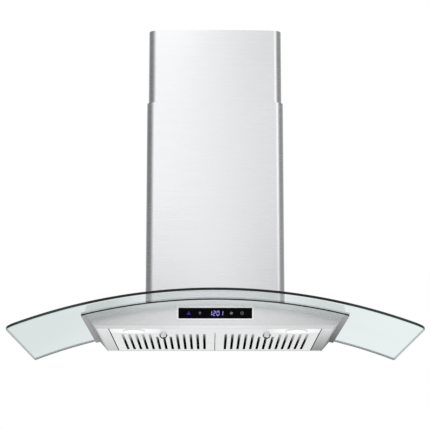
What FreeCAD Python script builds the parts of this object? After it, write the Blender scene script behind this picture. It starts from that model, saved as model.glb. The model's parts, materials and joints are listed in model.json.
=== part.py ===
import FreeCAD, Part
import os
import Sketcher

# Island range hood: an arched glass canopy on a shallow steel body, hung from the ceiling
# by a telescoping four-post frame that two chimney covers hide.
# Frame: origin at the centre of the ceiling plate's top face, on the duct axis.
# +Z up, +X to the right as seen from the control panel, the control panel faces -Y.

os.makedirs("parts", exist_ok=True)
doc = FreeCAD.newDocument("RangeHood")

# ---------------------------------------------------------------- driving dimensions

SIZES = {
    "sheet": 1.2,               # body and chimney sheet steel
    "fit": 0.2,                 # gap between parts that sit in each other
    "over": 1,                  # how far a cutting tool reaches past a face
    # glass canopy: a cylinder segment, arched across the width
    "glass_width": 900,
    "glass_depth": 600,
    "glass_thick": 6,
    "glass_front": -358,
    "glass_apex": -658,         # underside of the glass at mid width
    "arch_radius": 1247,        # underside of the glass
    "arch_drop": 120,           # room for the whole arch, below and above the apex
    "arch_rise": 20,
    "front_corner": 22,
    "rear_corner": 8,
    "cutout_x": 150,            # half sizes of the hole under the chimney
    "cutout_y": 128,
    "cutout_corner": 12,
    "gasket": 3,
    "gasket_width": 14,
    # body
    "body_y": 240,              # half depth
    "body_bottom": -719,
    "body_x_top": 287,          # half width under the glass
    "body_x_low": 267,          # half width at the bottom
    "flange": 10,
    "front_rim": 50,
    "rear_rim": 17,
    "rim_inner_x": 240,
    "rim_lap": 0.5,
    "rim_notch": 2,             # room for the side panel at each end of a rim
    "fold_radius": 1.14,
    "wall_across": 1.5,         # slanted sheet, measured level
    "deck_inset": 2.8,
    "deck_open_x": 120,
    "deck_open_y": 105,
    # lamp panel and lamps
    "panel_gap": 1,
    "lamp_panel_depth": 73,
    "lamp_panel_x": 238,
    "stiffener": 10,
    "lamp_x": 184,
    "lamp_y": -152,
    "lamp_hole": 23,
    "lamp_ring": 26,
    "lamp_lens": 21,
    "lamp_depth": 14,
    "lamp_proud": 2.2,
    "lamp_chamfer": 0.8,
    "lamp_wall": 1,
    "lamp_seat": 1.5,
    "lens_crown": 1.9,
    "lens_shoulder": 1.5,
    "lens_rim": 0.6,
    # baffle filters
    "filter_x": 119.2,
    "filter_width": 236.6,
    "filter_y_front": -115,
    "filter_y_rear": 221,
    "filter_tall": 14,
    "filter_wall": 0.8,
    "filter_bend": 1.5,         # round lower edge; the filter swings about the rear one
    "slot_pitch": 15.7,
    "slot_width": 6.2,
    "slot_front": -95,
    "slot_front_mid": -48,
    "slot_rear": 196,
    "lip_tall": 4,
    "baffle_web": 12,
    "baffle_tall": 5,
    "baffle_shift": 3.5,        # baffles stand nearer mid width than their slots
    "baffle_top": 9.8,
    "baffle_inset": 5,
    "baffle_lip_inset": 9,
    "baffle_lip_mid": -60,
    "bar_inset": 1.2,           # cross bars that carry the baffles
    "bar_wide": 5.8,
    "bar_thick": 1.6,
    "rail_x": 8,
    "rail_lift": 0.8,
    # filter latch
    "latch_travel": 6,
    "latch_width": 22,
    "latch_thick": 1.5,
    "latch_lift": 1.6,
    "latch_gap": 0.6,
    "pull_radius": 9,
    "pull_wire": 1.3,
    "pull_y": -80,
    "pull_foot": 3,
    "pull_gap": 2,
    "spring_pitch": 2.2,
    "spring_long": 11,
    "spring_radius": 2.2,
    "spring_wire": 0.4,
    "spring_start": 3.6,
    "spring_lift": 3.5,
    "stop_start": 15.6,
    "stop_thick": 2,
    "stop_x": 4,
    "stop_tall": 5,
    # control panel
    "panel_z": -691.2,
    "touch_width": 163,
    "touch_height": 23.6,
    "touch_thick": 3,
    "touch_corner": 2.5,
    "touch_inset": 0.3,
    "bezel_width": 169.5,
    "bezel_height": 32,
    "bezel_rise": 1,            # bezel centre above the touch panel's
    "bezel_proud": 1.5,
    "bezel_collar": 2,
    "bezel_corner": 3,
    "bezel_deep": 4,
    "board_x": 72,
    "board_z": 10,
    "board_thick": 1.6,
    "chip_pitch": 45,
    "chip_half": 5,
    "chip_tall": 1.8,
    "case_x": 92,
    "case_z": 18,
    "case_deep": 17,
    "case_wall": 2,
    # chimney covers
    "lower_x": 159.5,           # half sizes
    "lower_y": 139.5,
    "lower_top": -178,
    "lower_skirt": 8,           # how far the arched foot falls below the apex
    "foot_gap": 0.3,            # over the glass
    "upper_x": 156,
    "upper_y": 136,
    "upper_top": -1,
    "upper_low": -460,
    "bow": 6,                   # crown of the front and rear faces
    "cover_corner": 18,
    "seam": 0.4,
    "strip_y": 22,
    "strip_inset": 4,
    "strip_top": -30,           # upper strips end below the ceiling plate's tabs
    "screw_radius": 3.5,
    "screw_head": 1.6,
    "screw_hole": 2,
    "screw_slack": 0.1,
    "upper_screw_y": 60,
    "upper_screw_z": -13,
    "upper_stem": 7.6,
    "lower_screw_y": 14,
    "lower_screw_low": -640,
    "lower_screw_high": -200,
    "lower_stem": 2.3,
    "tab_y": 90,
    "tab_low": 24,
    # telescoping frame
    "plate_thick": 3,
    "plate_x": 150,
    "plate_y": 124,
    "duct_hole": 80,
    "cable_hole": 11,
    "ceiling_bolt_x": 120,
    "ceiling_bolt_y": 100,
    "ceiling_bolt_hole": 4.5,
    "post_x": 146,              # outer corner of the upper posts
    "post_y": 122,
    "post_leg": 25,
    "post_wall": 2,
    "post_clear": 0.5,
    "upper_post_low": -420,
    "lower_post_top": -160,
    "brace_tall": 20,
    "base_top": -650,
    "base_tall": 26,
    "base_wall": 2,
    "base_seat": 0.05,          # over the deck
    # blower
    "airbox_x": 125,
    "airbox_y": 112,
    "airbox_top": -430,
    "airbox_wall": 1.2,
    "scroll_x": -30,            # drum centre
    "scroll_z": -545,
    "scroll_radius": 82,
    "scroll_y": 50,
    "scroll_wall": 1,
    "neck_left": -50,
    "neck_right": 52,
    "inlet_radius": 46,
    "inlet_flange": 8,
    "inlet_lip": 4,
    "inlet_tall": 3.6,
    "inlet_wall": 1,
    "wheel_radius": 62,
    "wheel_y": 42,
    "wheel_ring": 2,
    "blade_deep": 10,
    "blade_thick": 1.2,
    "blade_lean": 2.3,
    "blade_edge": 0.5,
    "hub_radius": 10,
    "hub_long": 14,
    "shaft_radius": 4,
    "shaft_clear": 0.05,
    "shaft_front": -40,
    "shaft_rear": 16,
    "motor_radius": 34,
    "motor_front": -48,
    "motor_rear": -8,
    "motor_round": 4,
    "nose_radius": 11,
    "nose_long": 3,
    "bracket_radius": 20,
    "bracket_deep": 8,
    "arm_long": 60,
    "arm_wide": 9,
    "arm_thick": 2,
    "capacitor_radius": 15,
    "capacitor_left": 74,
    "capacitor_right": 118,
    "capacitor_y": 92,
    "capacitor_round": 1.5,
    # duct collar and dampers
    "collar_radius": 75,
    "collar_wall": 1.5,
    "collar_top": -360,
    "collar_flange": 90,
    "flap_z": -412,
    "flap_radius": 72,
    "flap_thick": 1,
    "pin_radius": 2,
    "pin_clear": 0.06,
    "pin_end": 0.1,
    "knuckle_radius": 3.6,
    "knuckle_gap": 0.6,
    "knuckle_long": 18,
    "knuckle_first": -52,       # the flaps' knuckles take turns along the pin
    "knuckle_step": 20,
    "knuckle_pair": 64,
    # supply
    "supply_x": 27,             # half sizes of the junction box
    "supply_y": 19,
    "supply_tall": 30,
    "supply_wall": 2,
    "gland_x": -95,
    "gland_y": -89,
    "gland_bore": 5,
    "gland_radius": 8,
    "gland_flange": 3,
    "gland_nut": 5,
    "gland_tall": 20,
    "gland_taper": 1.5,
}

sheet = doc.addObject("Spreadsheet::Sheet", "Size")
for row, (alias, value) in enumerate(SIZES.items(), start=1):
    sheet.set(f"A{row}", alias)
    sheet.set(f"B{row}", str(value))
    sheet.setAlias(f"B{row}", alias)
doc.recompute()

DERIVED = {
    "arch_z": "glass_apex - arch_radius",               # axis of every arched surface
    "deck_radius": "arch_radius - gasket",              # top face of the body
    "glass_rear": "glass_front + glass_depth",
    "flange_x": "body_x_top + flange",
    "side_top": "arch_z + sqrt(deck_radius ^ 2 - body_x_top ^ 2) - sheet",
    "side_slope": "(body_x_top - body_x_low) / (side_top - body_bottom)",
    "lamp_panel_front": "-body_y + front_rim + panel_gap",
    "lamp_panel_rear": "-body_y + front_rim + panel_gap + lamp_panel_depth",
    "filter_half": "filter_width / 2",
    "bezel_z": "panel_z + bezel_rise",
    "collar_bore": "collar_radius - collar_wall",
    "lower_post_x": "post_x - post_wall - post_clear",
    "lower_post_y": "post_y - post_wall - post_clear",
    "lower_leg": "post_leg - post_wall - post_clear",
}
for row, (alias, formula) in enumerate(DERIVED.items(), start=len(SIZES) + 1):
    sheet.set(f"A{row}", alias)
    sheet.set(f"B{row}", "=" + formula)
    sheet.setAlias(f"B{row}", alias)
doc.recompute()

NODES = []
NEAR = 1e-6         # two places closer than this are the same place


def size(alias):
    """A cell's value, for the few places that need a number rather than an expression."""
    return float(sheet.get(alias))


def cells(expression):
    """Put the sheet's name before every alias in an expression."""
    words = []
    word = ""
    for letter in str(expression) + " ":
        if letter.isalnum() or letter == "_" or (letter == "." and word[:1].isdigit()):
            word += letter
            continue
        words.append(f"Size.{word}" if word in SIZES or word in DERIVED else word)
        words.append(letter)
        word = ""
    return "".join(words).strip()


def bind(item, **expressions):
    """Bind properties of a document object to expressions of the sheet's cells."""
    for name, expression in expressions.items():
        item.setExpression(name.replace("__", "."), cells(expression))
    return item


def move(item, x="0", y="0", z="0"):
    return bind(item, Placement__Base__x=x, Placement__Base__y=y, Placement__Base__z=z)


def node(item, label):
    """Name a finished sub-part: the label is also its file's name."""
    item.Label = label
    NODES.append(item)
    return item


# ---------------------------------------------------------------- Part helpers

AXIS_TURN = {
    "X": FreeCAD.Rotation(FreeCAD.Vector(0, 1, 0), 90),
    "Y": FreeCAD.Rotation(FreeCAD.Vector(1, 0, 0), -90),
    "Z": FreeCAD.Rotation(),
}


def box(x, y, z):
    """A box between two expressions on each axis."""
    item = doc.addObject("Part::Box", "Block")
    move(item, x[0], y[0], z[0])
    return bind(
        item,
        Length=f"({x[1]}) - ({x[0]})",
        Width=f"({y[1]}) - ({y[0]})",
        Height=f"({z[1]}) - ({z[0]})",
    )


def slab(half_x, half_y, z):
    """A box centred on the duct axis."""
    return box((f"-({half_x})", half_x), (f"-({half_y})", half_y), z)


def cylinder(axis, radius, start, end, x="0", y="0", z="0"):
    """A cylinder along axis, from start to end, through the point given on the other axes."""
    item = doc.addObject("Part::Cylinder", "Round")
    item.Placement.Rotation = AXIS_TURN[axis]
    places = {"X": x, "Y": y, "Z": z}
    places[axis] = start
    move(item, places["X"], places["Y"], places["Z"])
    return bind(item, Radius=radius, Height=f"({end}) - ({start})")


def fuse(*items):
    if len(items) == 1:
        return items[0]
    item = doc.addObject("Part::MultiFuse", "Union")
    item.Shapes = list(items)
    item.Refine = True
    return item


def common(*items):
    item = doc.addObject("Part::MultiCommon", "Overlap")
    item.Shapes = list(items)
    item.Refine = True
    return item


def cut(base, *tools):
    item = doc.addObject("Part::Cut", "Cut")
    item.Base = base
    item.Tool = fuse(*tools)
    item.Refine = True
    return item


def group(*items):
    """Several separate solids under one node."""
    item = doc.addObject("Part::Compound", "Group")
    item.Links = list(items)
    return item


def round_edges(base, radius, wanted):
    """Fillet the edges that wanted(edge) picks."""
    doc.recompute()
    picked = [
        (number, radius, radius)
        for number, edge in enumerate(base.Shape.Edges, start=1)
        if wanted(edge)
    ]
    if not picked:
        raise RuntimeError(f"{base.Name}: no edge to round")
    item = doc.addObject("Part::Fillet", "Rounded")
    item.Base = base
    item.Edges = picked
    return item


def upright(edge):
    """True for a straight vertical edge."""
    first = edge.Vertexes[0].Point
    last = edge.Vertexes[-1].Point
    return (
        isinstance(edge.Curve, Part.Line)
        and abs(first.x - last.x) < NEAR
        and abs(first.y - last.y) < NEAR
    )


def circular(edge):
    return isinstance(edge.Curve, Part.Circle)


def arch(radius, y=("-body_y", "body_y")):
    """A solid cylinder across the depth whose top is the arch of that radius."""
    return cylinder("Y", radius, y[0], y[1], z="arch_z")


# ---------------------------------------------------------------- PartDesign helpers

def new_body(label):
    body = doc.addObject("PartDesign::Body", "Body")
    return node(body, label)


def origin_part(body, role):
    """A body's own plane or axis."""
    return next(item for item in body.Origin.OriginFeatures if item.Role == role)


def new_sketch(body, role, lift="0"):
    """A sketch on one of the body's origin planes, lifted along the plane's normal."""
    sketch = body.newObject("Sketcher::SketchObject", "Outline")
    sketch.AttachmentSupport = [(origin_part(body, role), "")]
    sketch.MapMode = "FlatFace"
    bind(sketch, AttachmentOffset__Base__z=lift)
    return sketch


def pin_point(sketch, geometry, corner, x, y):
    """Hold a sketch point at expressions measured from the sketch's origin."""
    for kind, expression in (("DistanceX", x), ("DistanceY", y)):
        index = sketch.addConstraint(Sketcher.Constraint(kind, -1, 1, geometry, corner, 1.0))
        sketch.setExpression(f"Constraints[{index}]", cells(expression))


def polygon(sketch, points):
    """A closed outline through points given as pairs of expressions."""
    first = sketch.GeometryCount
    count = len(points)
    for number in range(count):
        here = FreeCAD.Vector(*[value_of(word) for word in points[number]], 0)
        there = FreeCAD.Vector(*[value_of(word) for word in points[(number + 1) % count]], 0)
        sketch.addGeometry(Part.LineSegment(here, there), False)
    for number in range(count):
        follower = first + (number + 1) % count
        sketch.addConstraint(Sketcher.Constraint("Coincident", first + number, 2, follower, 1))
    for number, (x, y) in enumerate(points):
        pin_point(sketch, first + number, 1, x, y)


def rectangle(sketch, x, y):
    polygon(sketch, [(x[0], y[0]), (x[1], y[0]), (x[1], y[1]), (x[0], y[1])])


def circle(sketch, x, y, radius):
    centre = FreeCAD.Vector(value_of(x), value_of(y), 0)
    index = sketch.addGeometry(
        Part.Circle(centre, FreeCAD.Vector(0, 0, 1), value_of(radius)), False
    )
    pin_point(sketch, index, 3, x, y)
    held = sketch.addConstraint(Sketcher.Constraint("Radius", index, value_of(radius)))
    sketch.setExpression(f"Constraints[{held}]", cells(radius))


def value_of(expression):
    """The number that an expression of the sheet's cells stands for now."""
    result = sheet.evalExpression(cells(expression).replace("Size.", ""))
    return float(getattr(result, "Value", result))


def pad(body, sketch, length, reverse=False, middle=False):
    feature = body.newObject("PartDesign::Pad", "Pad")
    feature.Profile = sketch
    feature.Reversed = reverse
    feature.Midplane = middle
    return bind(feature, Length=length)


def pocket(body, sketch, length, reverse=False, middle=False):
    feature = body.newObject("PartDesign::Pocket", "Pocket")
    feature.Profile = sketch
    feature.Reversed = reverse
    feature.Midplane = middle
    return bind(feature, Length=length)


def bend(body, base, radius, wanted):
    """Round the edges of a body's feature that wanted(edge) picks."""
    doc.recompute()
    picked = [
        f"Edge{number}" for number, edge in enumerate(base.Shape.Edges, start=1) if wanted(edge)
    ]
    feature = body.newObject("PartDesign::Fillet", "Bend")
    feature.Base = (base, picked)
    return bind(feature, Radius=radius)


def revolve(label, points):
    """A full turn of a profile of (radius, height) pairs about the body's own Z axis."""
    body = new_body(label)
    sketch = new_sketch(body, "XZ_Plane")
    polygon(sketch, points)
    feature = body.newObject("PartDesign::Revolution", "Turned")
    feature.Profile = sketch
    feature.ReferenceAxis = (origin_part(body, "Z_Axis"), [""])
    feature.Angle = 360
    body.Tip = feature
    return body


def repeat(body, originals, pitch, count):
    """A straight row of features across the width."""
    feature = body.newObject("PartDesign::LinearPattern", "Row")
    feature.Originals = originals
    feature.Direction = (origin_part(body, "X_Axis"), [""])
    feature.Occurrences = count
    bind(feature, Length=f"({pitch}) * {count - 1}")
    body.Tip = feature


SIDES = {"left": "-1", "right": "1"}
ENDS = {"front": "-1", "rear": "1"}
CORNERS = [(end, side) for end in ENDS for side in SIDES]
ARCH_HEIGHTS = ("glass_apex - arch_drop", "glass_apex + arch_rise")


def span(place, near, far):
    """Between two distances from the duct axis, on the side or end that place names."""
    if place in ("right", "rear"):
        return (near, far)
    return (f"-({far})", f"-({near})")


# ---------------------------------------------------------------- chimney covers

def chimney_block(half_x, half_y, z):
    """A column with rounded corners whose front and rear faces are slightly crowned."""
    crown = f"(({half_x}) ^ 2 + bow ^ 2) / (2 * bow)"
    block = slab(half_x, half_y, z)
    front = cylinder("Z", crown, z[0], z[1], y=f"{crown} - ({half_y})")
    rear = cylinder("Z", crown, z[0], z[1], y=f"({half_y}) - {crown}")
    column = common(block, front, rear)
    return round_edges(column, size("cover_corner"), upright)


def cover_halves(name, half_x, half_y, heights, screw_y, screw_heights, foot=None):
    """A chimney cover: a thin column parted at the sides into a front and a rear half."""
    wide = (f"-{half_x} - over", f"{half_x} + over")
    for end, sign in ENDS.items():
        outer = chimney_block(half_x, half_y, heights)
        inner = chimney_block(f"{half_x} - sheet", f"{half_y} - sheet", heights)
        half = box(wide, span(end, "seam / 2", f"{half_y} + over"), heights)
        tools = [
            cylinder("X", "screw_hole", *wide, y=f"{sign} * {screw_y}", z=z) for z in screw_heights
        ]
        if foot:
            tools.append(arch(foot))
        node(cut(common(cut(outer, inner), half), *tools), f"{name}_{end}")


def joining_strips(half_x, heights):
    """A flat strip behind each side seam."""
    return group(*[
        box(span(side, f"{half_x} - 2 * sheet", f"{half_x} - sheet"), ("-strip_y", "strip_y"), heights)
        for side in SIDES
    ])


def side_screws(name, half_x, stem, screw_y, screw_heights):
    """Low-headed screws through both side faces."""
    screws = []
    for end, side in CORNERS:
        for z in screw_heights:
            place = {"y": f"{ENDS[end]} * {screw_y}", "z": z}
            head = span(side, half_x, f"{half_x} + screw_head")
            shank = span(side, f"{half_x} - {stem}", half_x)
            screws.append(
                fuse(
                    cylinder("X", "screw_radius", *head, **place),
                    cylinder("X", "screw_hole - screw_slack", *shank, **place),
                )
            )
    node(group(*screws), name)


def make_covers():
    upper = ("upper_screw_y", ["upper_screw_z"])
    lower = ("lower_screw_y", ["lower_screw_low", "lower_screw_high"])
    cover_halves("upper_cover", "upper_x", "upper_y", ("upper_low", "upper_top"), *upper)
    node(joining_strips("upper_x", ("upper_low + strip_inset", "strip_top")), "upper_cover_strips")
    side_screws("upper_cover_screws", "upper_x", "upper_stem", *upper)

    cover_halves(
        "lower_cover", "lower_x", "lower_y", ("glass_apex - lower_skirt", "lower_top"), *lower,
        foot="arch_radius + glass_thick + foot_gap",
    )
    strips = joining_strips("lower_x", ("glass_apex + strip_inset", "lower_top - strip_inset"))
    holes = [
        cylinder("X", "screw_hole", "-lower_x", "lower_x", y=f"{sign} * lower_screw_y", z=z)
        for sign in ENDS.values()
        for z in lower[1]
    ]
    node(cut(strips, *holes), "lower_cover_strips")
    side_screws("lower_cover_screws", "lower_x", "lower_stem", *lower)


# ---------------------------------------------------------------- telescoping frame

def angle_post(end, side, x, y, leg, heights):
    """An L-section post with its outer corner at x, y."""
    along_x = box(span(side, f"{x} - {leg}", x), span(end, f"{y} - post_wall", y), heights)
    along_y = box(span(side, f"{x} - post_wall", x), span(end, f"{y} - {leg}", y), heights)
    return fuse(along_x, along_y)


def make_frame():
    plate = slab("plate_x", "plate_y", ("-plate_thick", "0"))
    tabs = [
        box(span(side, "plate_x - sheet", "plate_x"), ("-tab_y", "tab_y"), ("-tab_low", "-plate_thick"))
        for side in SIDES
    ]
    through = ("-plate_thick - over", "over")
    holes = [
        cylinder("Z", "duct_hole", *through),
        cylinder("Z", "cable_hole", *through, x="gland_x", y="gland_y"),
    ]
    for sign in ENDS.values():
        holes.append(
            cylinder(
                "X", "screw_hole", "-plate_x - over", "plate_x + over",
                y=f"{sign} * upper_screw_y", z="upper_screw_z",
            )
        )
    for end, side in CORNERS:
        x = f"{SIDES[side]} * ceiling_bolt_x"
        y = f"{ENDS[end]} * ceiling_bolt_y"
        holes.append(cylinder("Z", "ceiling_bolt_hole", *through, x=x, y=y))
    node(cut(fuse(plate, *tabs), *holes), "ceiling_plate")

    for end, side in CORNERS:
        upper = angle_post(end, side, "post_x", "post_y", "post_leg", ("upper_post_low", "-plate_thick"))
        node(upper, f"upper_post_{end}_{side}")
        lower = angle_post(
            end, side, "lower_post_x", "lower_post_y", "lower_leg", ("base_top", "lower_post_top")
        )
        node(lower, f"lower_post_{end}_{side}")

    brace_heights = ("upper_post_low", "upper_post_low + brace_tall")
    for side in SIDES:
        across = span(side, "post_x", "post_x + post_wall")
        node(box(across, ("-post_y", "post_y"), brace_heights), f"upper_brace_{side}")

    below = "base_top - base_tall - over"
    outer = slab("post_x", "post_y", ("base_top - base_tall", "base_top"))
    hollow = slab("post_x - base_wall", "post_y - base_wall", (below, "base_top - base_wall"))
    window = slab("deck_open_x", "deck_open_y", (below, "base_top + over"))
    node(cut(outer, hollow, window, arch("deck_radius + base_seat")), "base_frame")


# ---------------------------------------------------------------- glass and gasket

def upright_at(y):
    """Picks the straight vertical edges at that depth."""
    return lambda edge: upright(edge) and abs(edge.Vertexes[0].Point.y - y) < NEAR


def make_glass():
    block = box(("-glass_width / 2", "glass_width / 2"), ("glass_front", "glass_rear"), ARCH_HEIGHTS)
    for radius, y in (("front_corner", "glass_front"), ("rear_corner", "glass_rear")):
        block = round_edges(block, size(radius), upright_at(size(y)))
    depth = ("glass_front - over", "glass_rear + over")
    curved = cut(arch("arch_radius + glass_thick", depth), arch("arch_radius", depth))
    hole = round_edges(slab("cutout_x", "cutout_y", ARCH_HEIGHTS), size("cutout_corner"), upright)
    node(cut(common(curved, block), hole), "glass_canopy")

    layer = cut(arch("arch_radius"), arch("deck_radius"))
    outline = slab("flange_x", "body_y", ARCH_HEIGHTS)
    middle = slab("flange_x - gasket_width", "body_y - gasket_width", ARCH_HEIGHTS)
    node(common(layer, cut(outline, middle)), "glass_gasket")


# ---------------------------------------------------------------- body shell

def arch_height(x, drop="0"):
    """Height of the body's arched top at a distance x from mid width."""
    return f"arch_z + sqrt(deck_radius ^ 2 - ({x}) ^ 2) - ({drop})"


def envelope():
    """The body's outer outline, a trapezoid under the arch, right through its depth."""
    profile = doc.addObject("Part::Wedge", "Trapezoid")
    profile.Placement.Rotation = FreeCAD.Rotation(FreeCAD.Vector(1, 0, 0), 90)
    top = "body_x_low + side_slope * (glass_apex - body_bottom)"
    bind(
        profile,
        Xmin="-body_x_low", Xmax="body_x_low", Zmin="-body_y", Zmax="body_y",
        X2min=f"-({top})", X2max=top, Z2min="-body_y", Z2max="body_y",
        Ymin="body_bottom", Ymax="glass_apex",
    )
    return common(profile, arch("deck_radius"))


def folded(edge):
    """True for the outer lower edge of an end panel."""
    first, last = edge.Vertexes[0].Point, edge.Vertexes[-1].Point
    level = abs(first.y - last.y) < NEAR and abs(first.z - last.z) < NEAR
    outside = abs(abs(first.y) - size("body_y")) < NEAR
    return level and outside and abs(first.z - size("body_bottom")) < NEAR


def end_panel(end, rim):
    """A flat face across one end of the body, folded under into a rim."""
    inside_y = span(end, f"body_y - {rim} - over", "body_y - sheet")
    outer = box(
        ("-flange_x", "flange_x"), span(end, f"body_y - {rim}", "body_y"), ("body_bottom", "glass_apex")
    )
    inner = box(
        ("-flange_x - over", "flange_x + over"), inside_y, ("body_bottom + sheet", "glass_apex + over")
    )
    panel = round_edges(cut(outer, inner), size("fold_radius"), folded)
    notches = [
        box(
            span(side, "body_x_low - rim_notch", "flange_x + over"), inside_y,
            ("body_bottom - over", "body_bottom + sheet + over"),
        )
        for side in SIDES
    ]
    return common(cut(panel, *notches), envelope())


def make_ends():
    window = box(
        ("-touch_width / 2 - bezel_collar", "touch_width / 2 + bezel_collar"),
        ("-body_y - over", "-body_y + sheet + over"),
        ("panel_z - touch_height / 2 - bezel_collar", "panel_z + touch_height / 2 + bezel_collar"),
    )
    node(cut(end_panel("front", "front_rim"), window), "front_fascia")
    node(end_panel("rear", "rear_rim"), "rear_panel")


def make_sides():
    """Slanted side panels: rim underneath, flange under the glass."""
    for side, sign in SIDES.items():
        body = new_body(f"{side}_side_panel")
        sketch = new_sketch(body, "XZ_Plane")
        inner_top = "body_x_top - wall_across"
        points = [
            ("body_x_low", "body_bottom"),
            ("body_x_top", "side_top"),
            ("flange_x", arch_height("flange_x", "sheet")),
            ("flange_x", arch_height("flange_x")),
            (inner_top, arch_height(inner_top)),
            ("body_x_low - wall_across", "body_bottom + sheet"),
            ("body_x_low - wall_across", "body_bottom"),
        ]
        polygon(sketch, [(f"{sign} * ({x})", z) for x, z in points])
        pad(body, sketch, "2 * (body_y - sheet)", middle=True)
        for rim, reverse in (("front_rim", False), ("rear_rim", True)):
            ledge = new_sketch(body, "XZ_Plane")
            rectangle(
                ledge, (f"{sign} * rim_inner_x", f"{sign} * (body_x_low - rim_lap)"),
                ("body_bottom", "body_bottom + sheet"),
            )
            body.Tip = pad(body, ledge, f"body_y - {rim}", reverse=reverse)


def make_top_deck():
    skin = cut(arch("deck_radius"), arch("deck_radius - sheet"))
    inside = slab("body_x_top - deck_inset", "body_y - sheet", ARCH_HEIGHTS)
    hole = slab("deck_open_x", "deck_open_y", ARCH_HEIGHTS)
    node(cut(common(skin, inside), hole), "top_deck")


def make_lamp_panel():
    body = new_body("lamp_panel")
    move(body, z="body_bottom")
    wide = ("-lamp_panel_x", "lamp_panel_x")
    for near, far, tall in (
        ("lamp_panel_front", "lamp_panel_rear", "sheet"),
        ("lamp_panel_front", "lamp_panel_front + sheet", "stiffener"),
        ("lamp_panel_rear - sheet", "lamp_panel_rear", "stiffener"),
    ):
        outline = new_sketch(body, "XY_Plane")
        rectangle(outline, wide, (near, far))
        pad(body, outline, tall)
    holes = new_sketch(body, "XY_Plane")
    for sign in SIDES.values():
        circle(holes, f"{sign} * lamp_x", "lamp_y", "lamp_hole")
    body.Tip = pocket(body, holes, "2 * sheet + over", middle=True)

    rail_z = "body_bottom + filter_tall + rail_lift"
    rail = box(
        ("-rail_x", "rail_x"), ("lamp_panel_rear + panel_gap", "body_y - rear_rim"),
        (rail_z, f"{rail_z} + sheet"),
    )
    node(rail, "filter_rail")


def make_lamps():
    """Each lamp: a turned metal ring with its cup, and a lens held inside the ring."""
    ring_bore = "lamp_lens + fit"
    cup = "lamp_hole - fit"
    for side, sign in SIDES.items():
        housing = revolve(f"lamp_{side}_housing", [
            (ring_bore, "-lamp_proud"), ("lamp_ring - lamp_chamfer", "-lamp_proud"),
            ("lamp_ring", "-lamp_proud + lamp_chamfer"), ("lamp_ring", "0"), (cup, "0"),
            (cup, "lamp_depth"), ("0", "lamp_depth"), ("0", "lamp_depth - lamp_wall"),
            (f"{cup} - lamp_wall", "lamp_depth - lamp_wall"), (f"{cup} - lamp_wall", "lamp_seat"),
            (ring_bore, "lamp_seat"),
        ])
        lens = revolve(f"lamp_{side}_lens", [
            ("0", "-lens_crown"), ("lamp_lens - lamp_wall", "-lens_shoulder"),
            ("lamp_lens", "-lens_rim"), ("lamp_lens", "lamp_seat - fit"), ("0", "lamp_seat - fit"),
        ])
        for piece in (housing, lens):
            move(piece, f"{sign} * lamp_x", "lamp_y", "body_bottom")


# ---------------------------------------------------------------- control panel

def across_depth(edge):
    """True for an edge that runs straight to the rear."""
    first, last = edge.Vertexes[0].Point, edge.Vertexes[-1].Point
    return abs(first.x - last.x) < NEAR and abs(first.z - last.z) < NEAR


def around_touch(gap):
    """Width and height of an opening that clears the touch panel by a gap all round."""
    return (
        (f"-touch_width / 2 - {gap}", f"touch_width / 2 + {gap}"),
        (f"panel_z - touch_height / 2 - {gap}", f"panel_z + touch_height / 2 + {gap}"),
    )


def make_controls():
    panel = new_body("touch_panel")
    move(panel, z="panel_z")
    outline = new_sketch(panel, "XZ_Plane", "body_y + bezel_proud - touch_inset - touch_thick")
    rectangle(
        outline, ("-touch_width / 2", "touch_width / 2"), ("-touch_height / 2", "touch_height / 2")
    )
    panel.Tip = bend(panel, pad(panel, outline, "touch_thick"), "touch_corner", across_depth)

    flange = box(
        ("-bezel_width / 2", "bezel_width / 2"), ("-body_y - bezel_proud", "-body_y"),
        ("bezel_z - bezel_height / 2", "bezel_z + bezel_height / 2"),
    )
    flange = round_edges(flange, size("bezel_corner"), across_depth)
    collar_x, collar_z = around_touch("(bezel_collar - fit)")
    window_x, window_z = around_touch("fit")
    collar = box(collar_x, ("-body_y - over", "-body_y + bezel_deep"), collar_z)
    window = box(window_x, ("-body_y - bezel_deep", "-body_y + bezel_deep + over"), window_z)
    node(cut(fuse(flange, collar), window), "control_bezel")

    board_face = "-body_y + bezel_deep + board_thick"
    board = box(
        ("-board_x", "board_x"), ("-body_y + bezel_deep", board_face),
        ("panel_z - board_z", "panel_z + board_z"),
    )
    chips = [
        box(
            (f"{place} * chip_pitch - chip_half", f"{place} * chip_pitch + chip_half"),
            (board_face, f"{board_face} + chip_tall"), ("panel_z - chip_half", "panel_z + chip_half"),
        )
        for place in ("-1", "0", "1")
    ]
    node(fuse(board, *chips), "control_board")

    case = box(
        ("-case_x", "case_x"), ("-body_y + sheet", "-body_y + case_deep"),
        ("panel_z - case_z", "panel_z + case_z"),
    )
    inside = box(
        ("-case_x + case_wall", "case_x - case_wall"),
        ("-body_y + sheet - over", "-body_y + case_deep - case_wall"),
        ("panel_z - case_z + case_wall", "panel_z + case_z - case_wall"),
    )
    node(cut(case, inside), "control_cover")


# ---------------------------------------------------------------- filters

# Rows of slots: the first slot's place, how many, and where they start in front.
SLOT_ROWS = ((-6, 5, "slot_front"), (-1, 3, "slot_front_mid"), (2, 5, "slot_front"))
SLOT_REACH = 6      # slots on each side of the middle one


def lower_bend(edge):
    """True for the lower front and rear edges of a tray's block."""
    first, last = edge.Vertexes[0].Point, edge.Vertexes[-1].Point
    return abs(first.y - last.y) < NEAR and abs(first.z) < NEAR and abs(last.z) < NEAR


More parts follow.
